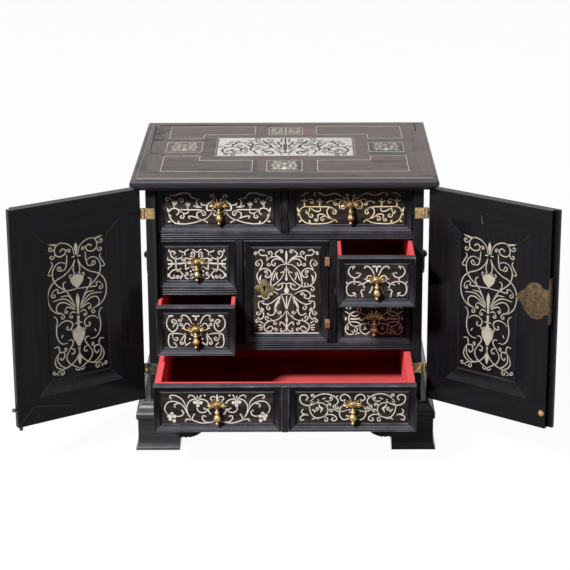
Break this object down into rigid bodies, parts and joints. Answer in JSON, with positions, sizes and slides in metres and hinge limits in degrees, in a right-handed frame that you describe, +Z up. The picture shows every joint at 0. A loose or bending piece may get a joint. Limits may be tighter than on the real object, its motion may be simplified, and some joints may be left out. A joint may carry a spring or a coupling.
{
  "type": "cabinet casket",
  "caption": "Ebonised table cabinet on block feet with scroll inlay: hinged outer doors, a small centre door, sliding drawers with drop pulls, and side handles.",
  "frame": {"origin": "floor level, under the middle of the casket's box in the pose of the picture", "axes": "+X to the right as the open front is seen, +Y to the back, +Z up"},
  "size_m": [0.6296, 0.3698, 0.339],
  "materials": {
    "ebonised_wood": "polished black stain with light scroll inlay on the panels",
    "red_lined_wood": "drawer box lined with red paper",
    "brass": "worn, with a dull gilt sheen",
    "iron": "dark, hand worked"
  },
  "bodies": {
    "carcass": {"top_slab": "ebonised_wood", "side_left": "ebonised_wood", "side_right": "ebonised_wood", "back_board": "ebonised_wood", "bottom_board": "ebonised_wood", "plinth": "ebonised_wood", "upper_board": "ebonised_wood", "lower_board": "ebonised_wood", "partition_left": "ebonised_wood", "partition_right": "ebonised_wood", "left_hinge_lower_fixed": "brass", "left_hinge_upper_fixed": "brass", "right_hinge_lower_fixed": "brass", "right_hinge_upper_fixed": "brass", "handle_plate_left": "iron", "handle_plate_right": "iron"},
    "door_left": {"left_door": "ebonised_wood", "left_hinge_lower_moving": "brass", "left_hinge_upper_moving": "brass"},
    "bolt_left": {"left_bolt": "iron"},
    "door_right": {"right_door": "ebonised_wood", "right_hinge_lower_moving": "brass", "right_hinge_upper_moving": "brass", "lock_plate": "brass"},
    "door_centre": {"centre_door": "ebonised_wood", "centre_hinge_lower": "brass", "centre_hinge_upper": "brass", "escutcheon": "brass"},
    "drawer_top_left": {"drawer_top_left_front": "ebonised_wood", "drawer_top_left_tray": "red_lined_wood", "pull_top_left_rosette": "brass"},
    "drop_top_left": {"pull_top_left_drop": "brass"},
    "drawer_top_right": {"drawer_top_right_front": "ebonised_wood", "drawer_top_right_tray": "red_lined_wood", "pull_top_right_rosette": "brass"},
    "drop_top_right": {"pull_top_right_drop": "brass"},
    "drawer_left_upper": {"drawer_left_upper_front": "ebonised_wood", "drawer_left_upper_tray": "red_lined_wood", "pull_left_upper_rosette": "brass"},
    "drop_left_upper": {"pull_left_upper_drop": "brass"},
    "drawer_left_lower": {"drawer_left_lower_front": "ebonised_wood", "drawer_left_lower_tray": "red_lined_wood", "pull_left_lower_rosette": "brass"},
    "drop_left_lower": {"pull_left_lower_drop": "brass"},
    "drawer_right_upper": {"drawer_right_upper_front": "ebonised_wood", "drawer_right_upper_tray": "red_lined_wood", "pull_right_upper_rosette": "brass"},
    "drop_right_upper": {"pull_right_upper_drop": "brass"},
    "drawer_right_lower": {"drawer_right_lower_front": "ebonised_wood", "drawer_right_lower_tray": "red_lined_wood", "pull_right_lower_rosette": "brass"},
    "drop_right_lower": {"pull_right_lower_drop": "brass"},
    "drawer_bottom": {"drawer_bottom_front": "ebonised_wood", "drawer_bottom_tray": "red_lined_wood", "pull_bottom_left_rosette": "brass", "pull_bottom_right_rosette": "brass"},
    "drop_bottom_left": {"pull_bottom_left_drop": "brass"},
    "drop_bottom_right": {"pull_bottom_right_drop": "brass"},
    "handle_left": {"bail_left": "iron"},
    "handle_right": {"bail_right": "iron"}
  },
  "joints": [
    {"name": "left_door_hinge", "type": "hinge", "parent": "carcass", "child": "door_left", "pos_m": [-0.1667, -0.078, 0.192], "axis": [0, 0, -1], "range_deg": [-64, 31.5]},
    {"name": "left_bolt_slide", "type": "slide", "parent": "door_left", "child": "bolt_left", "axis": [0, 0, 1], "range_m": [0, 0.0055]},
    {"name": "right_door_hinge", "type": "hinge", "parent": "carcass", "child": "door_right", "pos_m": [0.1667, -0.078, 0.192], "axis": [0, 0, 1], "range_deg": [-60.5, 35]},
    {"name": "centre_door_hinge", "type": "hinge", "parent": "carcass", "child": "door_centre", "pos_m": [0.0525, -0.0708, 0.1917], "axis": [0, 0, 1], "range_deg": [0, 90]},
    {"name": "drawer_top_left_slide", "type": "slide", "parent": "carcass", "child": "drawer_top_left", "axis": [0, -1, 0], "range_m": [0, 0.15]},
    {"name": "drop_top_left_swing", "type": "hinge", "parent": "drawer_top_left", "child": "drop_top_left", "pos_m": [-0.07785, -0.071, 0.2997], "axis": [-1, 0, 0], "range_deg": [0, 90]},
    {"name": "drawer_top_right_slide", "type": "slide", "parent": "carcass", "child": "drawer_top_right", "axis": [0, -1, 0], "range_m": [0, 0.15]},
    {"name": "drop_top_right_swing", "type": "hinge", "parent": "drawer_top_right", "child": "drop_top_right", "pos_m": [0.07785, -0.071, 0.2997], "axis": [-1, 0, 0], "range_deg": [0, 90]},
    {"name": "drawer_left_upper_slide", "type": "slide", "parent": "carcass", "child": "drawer_left_upper", "axis": [0, -1, 0], "range_m": [0, 0.15]},
    {"name": "drop_left_upper_swing", "type": "hinge", "parent": "drawer_left_upper", "child": "drop_left_upper", "pos_m": [-0.10525, -0.071, 0.22895], "axis": [-1, 0, 0], "range_deg": [0, 90]},
    {"name": "drawer_left_lower_slide", "type": "slide", "parent": "carcass", "child": "drawer_left_lower", "axis": [0, -1, 0], "range_m": [-0.0402, 0.1098]},
    {"name": "drop_left_lower_swing", "type": "hinge", "parent": "drawer_left_lower", "child": "drop_left_lower", "pos_m": [-0.10525, -0.1112, 0.15905], "axis": [-1, 0, 0], "range_deg": [0, 90]},
    {"name": "drawer_right_upper_slide", "type": "slide", "parent": "carcass", "child": "drawer_right_upper", "axis": [0, -1, 0], "range_m": [-0.0665, 0.0835]},
    {"name": "drop_right_upper_swing", "type": "hinge", "parent": "drawer_right_upper", "child": "drop_right_upper", "pos_m": [0.10645, -0.1375, 0.22895], "axis": [-1, 0, 0], "range_deg": [0, 90]},
    {"name": "drawer_right_lower_slide", "type": "slide", "parent": "carcass", "child": "drawer_right_lower", "axis": [0, -1, 0], "range_m": [0, 0.15]},
    {"name": "drop_right_lower_swing", "type": "hinge", "parent": "drawer_right_lower", "child": "drop_right_lower", "pos_m": [0.10645, -0.071, 0.15905], "axis": [-1, 0, 0], "range_deg": [0, 90]},
    {"name": "drawer_bottom_slide", "type": "slide", "parent": "carcass", "child": "drawer_bottom", "axis": [0, -1, 0], "range_m": [-0.11, 0.04]},
    {"name": "drop_bottom_left_swing", "type": "hinge", "parent": "drawer_bottom", "child": "drop_bottom_left", "pos_m": [-0.0783, -0.181, 0.0924], "axis": [-1, 0, 0], "range_deg": [0, 90]},
    {"name": "drop_bottom_right_swing", "type": "hinge", "parent": "drawer_bottom", "child": "drop_bottom_right", "pos_m": [0.0783, -0.181, 0.0924], "axis": [-1, 0, 0], "range_deg": [0, 90]},
    {"name": "handle_left_swing", "type": "hinge", "parent": "carcass", "child": "handle_left", "pos_m": [-0.1702, 0.047, 0.217], "axis": [0, 1, 0], "range_deg": [0, 100]},
    {"name": "handle_right_swing", "type": "hinge", "parent": "carcass", "child": "handle_right", "pos_m": [0.1702, 0.047, 0.217], "axis": [0, -1, 0], "range_deg": [0, 100]}
  ]
}
